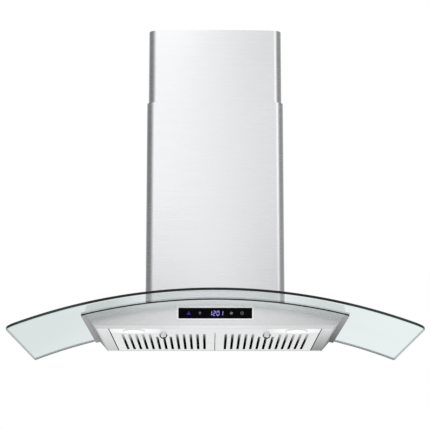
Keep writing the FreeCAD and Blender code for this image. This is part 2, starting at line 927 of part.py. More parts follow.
def make_tray(side, sign):
    """A tray with a slotted floor; the slots' edges stand up inside."""
    tray = new_body(f"filter_{side}_tray")
    move(tray, f"{sign} * filter_x", z="body_bottom")
    block = new_sketch(tray, "XY_Plane")
    rectangle(block, ("-filter_half", "filter_half"), ("filter_y_front", "filter_y_rear"))
    bend(tray, pad(tray, block, "filter_tall"), "filter_bend", lower_bend)
    hollow = new_sketch(tray, "XY_Plane", "filter_wall")
    rectangle(
        hollow, ("-filter_half + filter_wall", "filter_half - filter_wall"),
        ("filter_y_front + filter_wall", "filter_y_rear - filter_wall"),
    )
    pocket(tray, hollow, "filter_tall", reverse=True)
    for first, count, front in SLOT_ROWS:
        centre = f"{first} * slot_pitch"
        lips = new_sketch(tray, "XY_Plane")
        rectangle(
            lips,
            (f"{centre} - slot_width / 2 - filter_wall", f"{centre} + slot_width / 2 + filter_wall"),
            (f"{front} - filter_wall", "slot_rear + filter_wall"),
        )
        lip = pad(tray, lips, "lip_tall + filter_wall")
        opening = new_sketch(tray, "XY_Plane")
        rectangle(
            opening, (f"{centre} - slot_width / 2", f"{centre} + slot_width / 2"), (front, "slot_rear")
        )
        slot = pocket(tray, opening, "filter_tall * 2", middle=True)
        repeat(tray, [lip, slot], "slot_pitch", count)
    pull = new_sketch(tray, "XY_Plane")
    rectangle(
        pull, ("-pull_radius - pull_gap", "pull_radius + pull_gap"),
        ("pull_y - pull_foot", "pull_y + latch_travel + pull_foot"),
    )
    pocket(tray, pull, "filter_tall", middle=True)
    stop = new_sketch(tray, "XY_Plane")
    rectangle(stop, ("-stop_x", "stop_x"), ("pull_y + stop_start", "pull_y + stop_start + stop_thick"))
    pad(tray, stop, "filter_wall + stop_tall")
    tongue = new_sketch(tray, "XY_Plane", "filter_wall")
    rectangle(
        tongue, ("-latch_width / 2 - latch_gap", "latch_width / 2 + latch_gap"),
        ("filter_y_front - over", "filter_y_front + filter_wall + over"),
    )
    tray.Tip = pocket(tray, tongue, "latch_lift + latch_thick + over", reverse=True)


def make_baffles(side, sign):
    """The upper row of channels, over the gaps between the slots, on two cross bars."""
    floor = "body_bottom + baffle_top"
    channels = []
    for index in range(-SLOT_REACH, SLOT_REACH + 1):
        centre = f"{sign} * (filter_x - baffle_shift) + {index} * slot_pitch"
        wide = (f"{centre} - baffle_web / 2", f"{centre} + baffle_web / 2")
        long = ("filter_y_front + baffle_inset", "filter_y_rear - baffle_inset")
        channels.append(box(wide, long, (floor, f"{floor} + filter_wall")))
        lip_front = "baffle_lip_mid" if abs(index) < 2 else "filter_y_front + baffle_lip_inset"
        lip_long = (lip_front, "filter_y_rear - baffle_lip_inset")
        for lip in ((wide[0], f"{wide[0]} + filter_wall"), (f"{wide[1]} - filter_wall", wide[1])):
            channels.append(box(lip, lip_long, (f"{floor} - baffle_tall", floor)))
    across = (
        f"{sign} * filter_x - filter_half + filter_wall + fit",
        f"{sign} * filter_x + filter_half - filter_wall - fit",
    )
    for long in (
        ("filter_y_front + bar_inset", "filter_y_front + bar_inset + bar_wide"),
        ("filter_y_rear - bar_inset - bar_wide", "filter_y_rear - bar_inset"),
    ):
        channels.append(box(across, long, (floor, f"{floor} + bar_thick")))
    node(fuse(*channels), f"filter_{side}_baffles")


def make_latch(side, sign):
    """A flat tongue with a half-ring pull under it, and its return spring."""
    latch = new_body(f"filter_{side}_latch")
    move(latch, f"{sign} * filter_x", z="body_bottom")
    plate = new_sketch(latch, "XY_Plane", "latch_lift")
    rectangle(
        plate, ("-latch_width / 2", "latch_width / 2"),
        ("filter_y_front - latch_gap", "pull_y + pull_foot"),
    )
    pad(latch, plate, "latch_thick")
    ring = new_sketch(latch, "XZ_Plane", "-pull_y")
    circle(ring, "0", "0", "pull_radius")
    pad(latch, ring, "2 * pull_wire", middle=True)
    eye = new_sketch(latch, "XZ_Plane", "-pull_y")
    circle(eye, "0", "0", "pull_radius - 2 * pull_wire")
    pocket(latch, eye, "2 * pull_wire + over", middle=True)
    above = new_sketch(latch, "XZ_Plane", "-pull_y")
    rectangle(
        above, ("-pull_radius - over", "pull_radius + over"),
        ("latch_lift + latch_thick", "latch_lift + 2 * pull_radius"),
    )
    pocket(latch, above, "2 * pull_foot", middle=True)
    bar = new_sketch(latch, "XY_Plane", "latch_lift")
    rectangle(bar, ("-pull_radius", "pull_radius"), ("pull_y - pull_foot", "pull_y + pull_foot"))
    latch.Tip = pad(latch, bar, "latch_thick")

    helix = doc.addObject("Part::Helix", "Coil")
    bind(helix, Pitch="spring_pitch", Height="spring_long", Radius="spring_radius")
    wire = doc.addObject("Part::Circle", "Wire")
    wire.Placement.Rotation = FreeCAD.Rotation(FreeCAD.Vector(1, 0, 0), 90)
    bind(wire, Radius="spring_wire")
    move(wire, "spring_radius")
    spring = doc.addObject("Part::Sweep", "Spring")
    spring.Sections = [wire]
    spring.Spine = (helix, ["Edge1"])
    spring.Solid = True
    spring.Frenet = True
    spring.Placement.Rotation = AXIS_TURN["Y"]
    move(spring, f"{sign} * filter_x", "pull_y + spring_start", "body_bottom + spring_lift")
    node(spring, f"filter_{side}_spring")


def make_filters():
    for side, sign in SIDES.items():
        make_tray(side, sign)
        make_baffles(side, sign)
        make_latch(side, sign)


# ---------------------------------------------------------------- blower

IMPELLER_BLADES = 30
BRACKET_TURNS = (90, 210, 330)


def about_drum(radius, start, end):
    """A cylinder on the blower's axis."""
    return cylinder("Y", radius, start, end, x="scroll_x", z="scroll_z")


def make_scroll():
    outer = slab("airbox_x", "airbox_y", ("base_top", "airbox_top"))
    inner = slab(
        "airbox_x - airbox_wall", "airbox_y - airbox_wall", ("base_top - over", "airbox_top - airbox_wall")
    )
    outlet = cylinder("Z", "collar_bore", "airbox_top - airbox_wall - over", "airbox_top + over")
    node(cut(outer, inner, outlet), "airbox")

    drum = about_drum("scroll_radius", "-scroll_y", "scroll_y")
    neck = box(
        ("neck_left", "neck_right"), ("-scroll_y", "scroll_y"), ("scroll_z", "airbox_top - airbox_wall")
    )
    inside_y = ("-scroll_y + scroll_wall", "scroll_y - scroll_wall")
    hollow = about_drum("scroll_radius - scroll_wall", *inside_y)
    way_out = box(
        ("neck_left + scroll_wall", "neck_right - scroll_wall"), inside_y, ("scroll_z", "airbox_top + over")
    )
    inlet = about_drum("inlet_radius", "-scroll_y - over", "scroll_y + over")
    node(cut(fuse(drum, neck), hollow, way_out, inlet), "scroll_casing")

    for end, sign in ENDS.items():
        ring = revolve(f"inlet_ring_{end}", [
            ("inlet_radius - inlet_lip", "0"), ("inlet_radius + inlet_flange", "0"),
            ("inlet_radius + inlet_flange", "inlet_wall"), ("inlet_radius + inlet_wall", "inlet_wall"),
            ("inlet_radius - inlet_lip / 2", "inlet_tall"), ("inlet_radius - inlet_lip", "inlet_tall"),
        ])
        ring.Placement.Rotation = FreeCAD.Rotation(FreeCAD.Vector(1, 0, 0), 90 * -float(sign))
        move(ring, "scroll_x", f"{sign} * scroll_y", "scroll_z")


def make_impeller():
    wheel = new_body("impeller")
    wheel.Placement.Rotation = AXIS_TURN["Y"]
    move(wheel, "scroll_x", "0", "scroll_z")
    disc = new_sketch(wheel, "XY_Plane")
    circle(disc, "0", "0", "wheel_radius")
    pad(wheel, disc, "wheel_ring", middle=True)
    for lift in ("wheel_y - wheel_ring", "-wheel_y"):
        band = new_sketch(wheel, "XY_Plane", lift)
        circle(band, "0", "0", "wheel_radius")
        circle(band, "0", "0", "wheel_radius - blade_deep")
        pad(wheel, band, "wheel_ring")
        doc.recompute()
    blade = new_sketch(wheel, "XY_Plane")
    polygon(blade, [
        ("wheel_radius - blade_deep + blade_edge", "-blade_lean"),
        ("wheel_radius - blade_edge", "blade_lean"),
        ("wheel_radius - 2 * blade_edge", "blade_lean + blade_thick"),
        ("wheel_radius - blade_deep", "-blade_lean + blade_thick"),
    ])
    vane = pad(wheel, blade, "2 * wheel_y - wheel_ring", middle=True)
    around = wheel.newObject("PartDesign::PolarPattern", "Vanes")
    around.Originals = [vane]
    around.Axis = (origin_part(wheel, "Z_Axis"), [""])
    around.Angle = 360
    around.Occurrences = IMPELLER_BLADES
    wheel.Tip = around
    hub = new_sketch(wheel, "XY_Plane")
    circle(hub, "0", "0", "hub_radius")
    pad(wheel, hub, "hub_long")
    bore = new_sketch(wheel, "XY_Plane")
    circle(bore, "0", "0", "shaft_radius")
    wheel.Tip = pocket(wheel, bore, "4 * hub_long", middle=True)


def make_motor():
    node(about_drum("shaft_radius", "shaft_front", "shaft_rear"), "motor_shaft")
    shell = round_edges(
        about_drum("motor_radius", "motor_front", "motor_rear"), size("motor_round"), circular
    )
    nose = about_drum("nose_radius", "motor_rear - over", "motor_rear + nose_long")
    bearing = about_drum(
        "shaft_radius + shaft_clear", "shaft_front - shaft_clear", "motor_rear + nose_long + over"
    )
    node(cut(fuse(shell, nose), bearing), "motor")

    arms = []
    for turn in BRACKET_TURNS:
        arm = group(box(("0", "arm_long"), ("0", "arm_thick"), ("-arm_wide / 2", "arm_wide / 2")))
        arm.Placement.Rotation = FreeCAD.Rotation(FreeCAD.Vector(0, 1, 0), turn)
        arms.append(move(arm, "scroll_x", "motor_front - bracket_deep", "scroll_z"))
    ring = about_drum("bracket_radius", "motor_front - bracket_deep", "motor_front")
    node(fuse(ring, *arms), "motor_bracket")

    can = cylinder(
        "X", "capacitor_radius", "capacitor_left", "capacitor_right",
        y="capacitor_y", z="airbox_top + capacitor_radius + fit",
    )
    node(round_edges(can, size("capacitor_round"), circular), "capacitor")


# ---------------------------------------------------------------- duct collar and dampers

def make_collar():
    revolve("duct_collar", [
        ("collar_bore", "airbox_top"), ("collar_flange", "airbox_top"),
        ("collar_flange", "airbox_top + collar_wall"), ("collar_radius", "airbox_top + collar_wall"),
        ("collar_radius", "collar_top"), ("collar_bore", "collar_top"),
    ])
    reach = "collar_bore - pin_end"
    node(cylinder("X", "pin_radius", f"-({reach})", reach, z="flap_z"), "damper_pin")

    heights = ("flap_z - flap_thick / 2", "flap_z + flap_thick / 2")
    for end, first in (("front", "knuckle_first"), ("rear", "knuckle_first + knuckle_step")):
        disc = cylinder("Z", "flap_radius", *heights)
        half = box(
            ("-flap_radius", "flap_radius"), span(end, "knuckle_radius + knuckle_gap", "flap_radius"),
            heights,
        )
        leaf = [common(disc, half)]
        for start in (first, f"{first} + knuckle_pair"):
            along = (start, f"{start} + knuckle_long")
            leaf.append(cylinder("X", "knuckle_radius", *along, z="flap_z"))
            leaf.append(box(along, span(end, "0", "knuckle_radius + over"), heights))
        bore = cylinder("X", "pin_radius + pin_clear", "-collar_radius", "collar_radius", z="flap_z")
        node(cut(fuse(*leaf), bore), f"damper_flap_{end}")


def around_gland(inset):
    """The junction box's footprint, less an inset all round."""
    return (
        (f"gland_x - supply_x + {inset}", f"gland_x + supply_x - {inset}"),
        (f"gland_y - supply_y + {inset}", f"gland_y + supply_y - {inset}"),
    )


def make_supply():
    case = box(*around_gland("0"), ("airbox_top", "airbox_top + supply_tall"))
    inside = box(
        *around_gland("supply_wall"),
        ("airbox_top + supply_wall", "airbox_top + supply_tall - supply_wall"),
    )
    lead_in = cylinder(
        "Z", "gland_bore", "airbox_top + supply_tall / 2", "airbox_top + supply_tall + over",
        x="gland_x", y="gland_y",
    )
    node(cut(case, inside, lead_in), "junction_box")
    gland = revolve("cable_gland", [
        ("gland_bore", "0"), ("gland_radius + gland_flange", "0"),
        ("gland_radius + gland_flange", "gland_nut"), ("gland_radius", "gland_nut + over"),
        ("gland_radius", "gland_tall - 2 * gland_taper"), ("gland_radius - gland_taper", "gland_tall"),
        ("gland_bore", "gland_tall"),
    ])
    move(gland, "gland_x", "gland_y", "airbox_top + supply_tall")


make_frame()
make_covers()
make_glass()
make_ends()
make_sides()
make_top_deck()
make_lamp_panel()
make_lamps()
make_controls()
make_filters()
make_scroll()
make_impeller()
make_motor()
make_collar()
make_supply()

# ---------------------------------------------------------------- check and write

doc.recompute()
for item in doc.Objects:
    if "Invalid" in item.State or "Error" in item.State:
        raise RuntimeError(f"{item.Label}: {item.State}")
for item in NODES:
    if item.Shape.isNull() or not item.Shape.isValid():
        raise RuntimeError(f"{item.Label}: no valid shape")
    print(f"{item.Label}: {item.Shape.Volume / 1000:.2f} cm3, {len(item.Shape.Solids)} solids")
for item in NODES:
    item.Shape.exportStep(f"parts/{item.Label}.step")
print(len(NODES), "nodes")
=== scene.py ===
"""Looks of the island range hood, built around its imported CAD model. Metres, row frame."""
import json
import math

import bmesh
import bpy
from mathutils import Matrix, Vector

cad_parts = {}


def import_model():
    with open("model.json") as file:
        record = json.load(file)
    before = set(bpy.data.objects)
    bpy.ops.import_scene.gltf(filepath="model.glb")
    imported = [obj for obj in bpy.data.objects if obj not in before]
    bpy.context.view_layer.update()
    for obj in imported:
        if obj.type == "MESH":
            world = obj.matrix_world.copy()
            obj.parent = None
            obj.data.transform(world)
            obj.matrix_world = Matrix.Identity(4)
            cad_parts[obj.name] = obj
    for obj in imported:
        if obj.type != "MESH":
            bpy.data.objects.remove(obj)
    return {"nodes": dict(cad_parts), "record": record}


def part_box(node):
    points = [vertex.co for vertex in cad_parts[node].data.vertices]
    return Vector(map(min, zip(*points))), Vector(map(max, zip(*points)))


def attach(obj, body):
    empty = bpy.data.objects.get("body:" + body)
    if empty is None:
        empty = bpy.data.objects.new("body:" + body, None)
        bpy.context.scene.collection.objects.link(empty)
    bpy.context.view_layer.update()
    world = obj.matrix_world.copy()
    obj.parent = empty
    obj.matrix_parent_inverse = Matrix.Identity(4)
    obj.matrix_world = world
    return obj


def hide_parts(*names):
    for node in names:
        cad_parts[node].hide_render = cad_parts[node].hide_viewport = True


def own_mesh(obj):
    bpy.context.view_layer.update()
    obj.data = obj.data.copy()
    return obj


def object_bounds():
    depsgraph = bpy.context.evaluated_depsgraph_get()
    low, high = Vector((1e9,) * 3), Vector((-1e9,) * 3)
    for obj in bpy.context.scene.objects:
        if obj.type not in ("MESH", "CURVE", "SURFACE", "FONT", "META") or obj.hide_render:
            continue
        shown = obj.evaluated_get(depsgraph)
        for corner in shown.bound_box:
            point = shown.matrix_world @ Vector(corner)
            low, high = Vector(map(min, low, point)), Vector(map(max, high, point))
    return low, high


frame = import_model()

CAD_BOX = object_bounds()
MM = 0.001

scene = bpy.context.scene
nodes = frame["nodes"]
glass_lo, glass_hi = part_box("glass_canopy")
fascia_lo, fascia_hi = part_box("front_fascia")
HALF_BODY = fascia_hi.x
GLASS_THICK = 6 * MM


# ---------------------------------------------------------------- node trees

class Graph:
    """The node tree of a material or a world, and short ways to add nodes to it."""

    def __init__(self, owner):
        owner.use_nodes = True
        self.tree = owner.node_tree
        self.nodes = self.tree.nodes

    def add(self, kind, inputs=None, **settings):
        made = self.nodes.new("ShaderNode" + kind)
        for key, value in settings.items():
            setattr(made, key, value)
        for key, value in (inputs or {}).items():
            if isinstance(value, bpy.types.NodeSocket):
                self.link(value, made.inputs[key])
            else:
                made.inputs[key].default_value = value
        return made

    def link(self, source, target):
        self.tree.links.new(source, target)

    def axes(self, source="Object"):
        """The X, Y and Z of a texture coordinate."""
        return self.add("SeparateXYZ", {0: self.add("TexCoord").outputs[source]}).outputs

    def maths(self, operation, first, second=0.0):
        return self.add("Math", {0: first, 1: second}, operation=operation).outputs[0]

    def spread(self, value, low, high, start=0.3, end=0.7):
        """A value made to run from low to high as it goes from start to end."""
        return self.add(
            "MapRange",
            {"Value": value, "From Min": start, "From Max": end, "To Min": low, "To Max": high},
        ).outputs[0]

    def rising(self, value, start, end):
        """A 0-1 factor that grows as a value goes from start to end."""
        return self.spread(value, 0.0, 1.0, start, end)

    def tint(self, factor, first, second, **settings):
        """Two colours, plain or linked, mixed by a 0-1 factor."""
        inputs = {"Factor": factor}
        for key, colour in ((6, first), (7, second)):
            linked = isinstance(colour, bpy.types.NodeSocket)
            inputs[key] = colour if linked else (*colour, 1)
        return self.add("Mix", inputs, data_type="RGBA", **settings).outputs[2]

    def gray(self, level):
        return self.add("CombineColor", {0: level, 1: level, 2: level}).outputs[0]


class Tree(Graph):
    """A material's node tree, with its Principled shader."""

    def __init__(self, mat):
        super().__init__(mat)
        self.mat = mat
        self.shader = self.nodes["Principled BSDF"]
        self.out = self.nodes["Material Output"]

    @classmethod
    def new(cls, name, colour=(0.8, 0.8, 0.8), rough=0.5, metal=0.0, **sockets):
        """The tree of a new material, with even values on its shader's own sockets."""
        tree = cls(bpy.data.materials.new(name))
        tree.set(Base_Color=(*colour, 1), Roughness=rough, Metallic=metal, **sockets)
        return tree

    def set(self, **sockets):
        for key, value in sockets.items():
            self.shader.inputs[key.replace("_", " ")].default_value = value

    def feed(self, **sources):
        for key, source in sources.items():
            self.link(source, self.shader.inputs[key.replace("_", " ")])

    def surface(self, shader):
        """Use another shader for the material's surface."""
        self.link(shader, self.out.inputs["Surface"])

    def place(self, scale=(1, 1, 1)):
        """Object coordinates, in metres, stretched by a scale for each axis."""
        coords = self.add("TexCoord").outputs["Object"]
        return self.add("Mapping", {"Vector": coords, "Scale": scale}).outputs[0]

    def noise(self, scale, detail=2.0, stretch=(1, 1, 1), rough=0.5):
        return self.add(
            "TexNoise",
            {"Vector": self.place(stretch), "Scale": scale, "Detail": detail, "Roughness": rough},
        ).outputs["Fac"]

    def bump(self, height, depth):
        made = self.add("Bump", {"Height": height, "Distance": depth, "Strength": 1.0})
        self.feed(Normal=made.outputs[0])


# ---------------------------------------------------------------- finishes

def dimmer(colour, share):
    return tuple(c * share for c in colour)


def brushed(name, colour, rough, grain, depth=0.00002):
    """Brushed steel: fine streaks across the axes where grain is high, and soft cloudy wear."""
    tree = Tree.new(name, colour, rough, metal=1.0)
    streaks = tree.noise(1.0, 3.0, grain, 0.65)
    clouds = tree.spread(tree.noise(7.0, 3.0), -0.02, 0.02)
    level = tree.maths("ADD", clouds, tree.spread(streaks, -0.045, 0.045))
    shade = tree.rising(level, -0.06, 0.06)
    tree.feed(
        Roughness=tree.maths("ADD", tree.spread(streaks, rough - 0.05, rough + 0.07), clouds),
        Base_Color=tree.tint(shade, dimmer(colour, 0.86), colour),
    )
    tree.bump(streaks, depth)
    return tree.mat


def zinc_steel():
    """Galvanised sheet: large faceted spangle, dull and cloudy."""
    tree = Tree.new("zinc_steel", (0.55, 0.57, 0.58), 0.42, metal=0.9)
    cells = tree.add("TexVoronoi", {"Vector": tree.place(), "Scale": 110.0, "Randomness": 1.0})
    tone = tree.add("SeparateColor", {0: cells.outputs["Color"]}).outputs[0]
    tree.feed(
        Base_Color=tree.tint(tone, (0.44, 0.46, 0.48), (0.66, 0.68, 0.69)),
        Roughness=tree.spread(tone, 0.34, 0.52, 0, 1),
    )
    tree.bump(tree.noise(180.0, 3.0), 0.00005)
    return tree.mat


def moulded(name, colour, rough, grain=900.0, metal=0.0):
    """Moulded plastic or rubber: a fine even texture with slight blotches."""
    tree = Tree.new(name, colour, rough, metal)
    speckle = tree.noise(grain, 2.0)
    blotches = tree.noise(18.0, 3.0)
    light = tuple(min(1.0, c * 1.25 + 0.004) for c in colour)
    tree.feed(
        Base_Color=tree.tint(tree.spread(blotches, 0, 1), dimmer(colour, 0.85), light),
        Roughness=tree.spread(speckle, rough - 0.06, rough + 0.08),
    )
    tree.bump(speckle, 0.00004)
    return tree.mat


def polished(name, colour, rough):
    """Satin chrome: nearly even, with faint hairlines and smears."""
    tree = Tree.new(name, colour, rough, metal=1.0)
    hair = tree.noise(1.0, 2.0, (60, 2600, 2600))
    smear = tree.noise(30.0, 3.0)
    tree.feed(
        Roughness=tree.maths(
            "ADD", tree.spread(smear, rough - 0.03, rough + 0.05), tree.spread(hair, 0, 0.03)
        ),
        Base_Color=tree.tint(smear, dimmer(colour, 0.93), colour),
    )
    tree.bump(hair, 0.000008)
    return tree.mat


def black_glass():
    """Touch glass: deep gloss black, with faint smudges in the gloss."""
    tree = Tree.new("black_glass", (0.0012, 0.0012, 0.0016), 0.06, Specular_IOR_Level=0.03)
    smudge = tree.noise(55.0, 4.0)
    tree.feed(
        Roughness=tree.spread(smudge, 0.04, 0.14),
        Base_Color=tree.tint(smudge, (0.0006, 0.0006, 0.0009), (0.0022, 0.0022, 0.003)),
    )
    return tree.mat


def lit_mark(name, colour, strength=1.0):
    """A lit symbol behind the glass, a little uneven across each segment."""
    tree = Tree.new(name, (0.0, 0.0, 0.0), 0.3, Emission_Strength=strength)
    uneven = tree.spread(tree.noise(700.0, 2.0), 0, 1)
    tree.feed(Emission_Color=tree.tint(uneven, dimmer(colour, 0.7), colour))
    return tree.mat


def canopy_glass():
    """Clear tempered glass, tinted green; the tint thinning to the right and clearing at mid
    width is painted light.

    A ray is mirrored only as it enters the sheet, by enough for both faces.
    """
    tree = Tree.new("canopy_glass")
    tree.nodes.remove(tree.shader)
    # painted light: the sheet is made lighter to the right and clearer at mid width
    painted_light_to_right = along(0, glass_lo.x, glass_hi.x)(tree)
    uneven = tree.maths("ADD", tree.spread(tree.noise(3.0, 2.0), -0.2, 0.2), painted_light_to_right)
    tinted = tree.tint(uneven, (0.775, 0.815, 0.81), (0.88, 0.915, 0.91))
    clear_to, tinted_from = 150 * MM, 230 * MM
    aside = along(0, clear_to, tinted_from, mirrored=True)(tree)
    colour = tree.tint(aside, (0.95, 0.975, 0.972), tinted)
    clear = tree.add("BsdfTransparent", {"Color": colour})
    mirror = tree.add("BsdfAnisotropic", {"Color": (0.92, 0.97, 0.96, 1), "Roughness": 0.03})
    outside = tree.maths("SUBTRACT", 1.0, tree.add("NewGeometry").outputs["Backfacing"])
    once = tree.add("Fresnel", {"IOR": 1.5}).outputs[0]
    both = tree.maths("DIVIDE", tree.maths("MULTIPLY", once, 2.0), tree.maths("ADD", once, 1.0))
    share = tree.maths("MULTIPLY", tree.maths("MULTIPLY", both, 0.6), outside)
    mixed = tree.add("MixShader", {0: share, 1: clear.outputs[0], 2: mirror.outputs[0]})
    tree.surface(mixed.outputs[0])
    return tree.mat


def canopy_edge():
    """Ground glass rim: green, with painted light making it pale on its sides and painted shade
    making it nearly black over the body's gasket.
    """
    tree = Tree.new("canopy_edge", (0.02, 0.05, 0.045), 0.12, Specular_IOR_Level=0.35)
    aside = tree.maths("ABSOLUTE", tree.axes()[0])
    # painted shade: the rim nearly black over the body
    painted_dark_over_body = tree.spread(aside, 1.0, 0.0, HALF_BODY - 12 * MM, HALF_BODY + 12 * MM)
    grind = tree.noise(400.0, 3.0)
    green = tree.tint(tree.spread(grind, 0, 1), (0.012, 0.036, 0.031), (0.02, 0.06, 0.051))
    front = tree.tint(painted_dark_over_body, green, (0.006, 0.008, 0.008))
    # painted light: the rim pale where it faces the sides
    painted_pale_sides = tree.rising(tree.maths("ABSOLUTE", tree.axes("Normal")[0]), 0.75, 0.97)
    tree.feed(
        Base_Color=tree.tint(painted_pale_sides, front, (0.42, 0.52, 0.50)),
        Roughness=tree.spread(grind, 0.08, 0.2),
    )
    tree.bump(grind, 0.00002)
    return tree.mat


def lamp_diffuser():
    """Frosted lens with a lit, faintly dimpled face."""
    tree = Tree.new("lamp_diffuser", (0.93, 0.93, 0.9), 0.35, Emission_Strength=0.8)
    cells = tree.add("TexVoronoi", {"Vector": tree.place(), "Scale": 520.0, "Randomness": 0.2})
    dimple = cells.outputs["Distance"]
    warm = tree.tint(tree.rising(dimple, 0, 0.7), (1.0, 1.0, 0.98), (0.86, 0.88, 0.88))
    tree.feed(Emission_Color=warm, Base_Color=warm)
    tree.bump(dimple, 0.0001)
    return tree.mat


def circuit_board():
    """Green board with a grid of slightly raised tracks."""
    tree = Tree.new("circuit_board", (0.03, 0.16, 0.07), 0.35)
    grid = tree.add("TexBrick", {"Vector": tree.place(), "Scale": 260.0, "Mortar Size": 0.08})
    tracks = tree.maths("GREATER_THAN", grid.outputs["Fac"], 0.5)
    tree.feed(Base_Color=tree.tint(tracks, (0.012, 0.13, 0.05), (0.05, 0.24, 0.11)))
    tree.bump(tracks, 0.00003)
    return tree.mat


# ---------------------------------------------------------------- where painted shade and painted lamp light fall

# A factor is a function that takes a material's tree and gives a 0-1 socket.

# The lamps' light below is painted onto the steel as emission.
LAMP_CORE = 22 * MM         # the lamps' light is even out to here
SHEET_MARGIN = 0.3 * MM     # faces this far inside a node's box are hidden ones


def facing(tree, start, end):
    """A 0-1 socket that grows as a face's own direction turns from start to end, 1 being up."""
    return tree.rising(tree.axes("Normal")[2], start, end)


def along(axis, start, end, mirrored=False):
    """A 0-1 factor that grows along an object axis, or with the distance from mid width."""
    def factor(tree):
        place = tree.axes()[axis]
        if mirrored:
            place = tree.maths("ABSOLUTE", place)
        return tree.rising(place, start, end)
    return factor


def hidden_faces(name):
    """A 0-1 factor, 1 on a node's side and lower faces that are within its box."""
    lo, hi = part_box(name)
    middle, half = (lo + hi) / 2, (hi - lo) / 2

    def factor(tree):
        place = tree.add("TexCoord").outputs["Object"]
        offset = tree.add("VectorMath", {0: place, 1: middle}, operation="SUBTRACT").outputs[0]
        split = tree.add("SeparateXYZ", {0: offset}).outputs
        found = facing(tree, 0.6, 0.4)
        for axis in range(3):
            away = tree.maths("ABSOLUTE", split[axis])
            inner = tree.maths("LESS_THAN", away, half[axis] - SHEET_MARGIN)
            found = tree.maths("MULTIPLY", found, inner)
        return found
    return factor


def deep_inside(name):
    """A 0-1 factor that grows to the rear, on a node's hidden faces only."""
    lo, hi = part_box(name)
    hidden = hidden_faces(name)
    rearward = along(1, lo.y, (lo.y + hi.y) / 2 + 40 * MM)
    return lambda tree: tree.maths("MULTIPLY", hidden(tree), rearward(tree))


def upright_faces(tree):
    """A 0-1 factor, 1 on faces that look neither up nor down."""
    return tree.maths("MULTIPLY", facing(tree, -0.9, -0.6), facing(tree, 0.9, 0.6))


def rearward_undersides(tree):
    """A 0-1 factor that grows to the rear on every face that doesn't look up."""
    return tree.maths("MULTIPLY", along(1, -110 * MM, 90 * MM)(tree), facing(tree, 0.6, 0.4))


def shaded(mat, *shades):
    """Paint shade onto a brushed finish: darken it, edge-on too, to a share wherever a factor
    reaches 1.
    """
    tree = Tree(mat)
    share = 1.0
    for factor, low in shades:
        share = tree.maths("MULTIPLY", tree.spread(factor(tree), 1.0, low, 0, 1), share)
    gray = tree.gray(share)
    bright = tree.shader.inputs["Base Color"].links[0].from_socket
    dark = tree.tint(1.0, bright, gray, blend_type="MULTIPLY")
    tree.feed(Base_Color=dark, Specular_Tint=gray)
    return mat


def lamp_distance(tree):
    """Distance to the nearer lamp's centre."""
    lo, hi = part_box("lamp_right_lens")
    across, back, up = tree.axes()
    folded = tree.add("CombineXYZ", {0: tree.maths("ABSOLUTE", across), 1: back, 2: up})
    return tree.add(
        "VectorMath", {0: folded.outputs[0], 1: (lo + hi) / 2}, operation="DISTANCE"
    ).outputs["Value"]


def painted_lamp_glow(mat, strength, reach, where=None):
    """Painted lamp light: a glow on the steel round the lamps, out to a reach, kept to a factor
    if given.
    """
    tree = Tree(mat)
    level = tree.spread(lamp_distance(tree), strength, 0.0, LAMP_CORE, reach)
    if where:
        level = tree.maths("MULTIPLY", level, where(tree))
    tree.feed(Emission_Color=tree.gray(level))
    tree.set(Emission_Strength=1.0)
    return mat


# ---------------------------------------------------------------- coats of the CAD nodes

# Steel colours, and how the brushing is stretched: low along its lines, high across them.
BODY_COLOUR = (0.89, 0.895, 0.895)
FILTER_COLOUR = (0.90, 0.90, 0.895)
LEVEL_LINES = (9, 9, 1500)
ALONG_X = (9, 1500, 1500)
ALONG_Y = (1500, 9, 1500)
FILTER_LINES = (1300, 10, 1300)
FILTER_DEPTH = 0.00003

FLANGE = 27 * MM                # the side panels' flange under the glass
# The two glows below are lamp light painted onto the steel as emission.
PAINTED_PANEL_GLOW = (0.22, 75 * MM)    # strength and reach of the lamps' light on the steel round them
PAINTED_SLOT_GLOW = (0.75, 230 * MM)    # and of their light inside the filters

MATERIALS = {
    "brushed_steel": brushed("brushed_steel", (0.92, 0.92, 0.93), 0.22, LEVEL_LINES, 0.000008),
    "body_steel": brushed("body_steel", BODY_COLOUR, 0.24, ALONG_X),
    "filter_steel": brushed("filter_steel", FILTER_COLOUR, 0.30, FILTER_LINES, FILTER_DEPTH),
    "zinc_steel": zinc_steel(),
    "canopy_glass": canopy_glass(),
    "gasket_rubber": moulded("gasket_rubber", (0.012, 0.013, 0.014), 0.7),
    "black_glass": black_glass(),
    "bezel_metal": polished("bezel_metal", (0.97, 0.97, 0.97), 0.16),
    "lamp_metal": polished("lamp_metal", (0.90, 0.90, 0.90), 0.2),
    "lamp_diffuser": lamp_diffuser(),
    "wire_steel": polished("wire_steel", (0.72, 0.72, 0.72), 0.18),
    "screw_steel": polished("screw_steel", (0.68, 0.68, 0.68), 0.28),
    "fan_plastic": moulded("fan_plastic", (0.035, 0.036, 0.038), 0.42, 500.0),
    "motor_metal": moulded("motor_metal", (0.09, 0.095, 0.1), 0.38, 300.0, metal=0.4),
    "black_plastic": moulded("black_plastic", (0.02, 0.02, 0.021), 0.48),
    "capacitor_plastic": moulded("capacitor_plastic", (0.78, 0.78, 0.75), 0.3),
    "circuit_board": circuit_board(),
}
SLOT_OF = {row["node"]: row["material_slot"] for row in frame["record"]["subparts"]}


def coat(obj, material):
    obj.data.materials.clear()
    obj.data.materials.append(material)


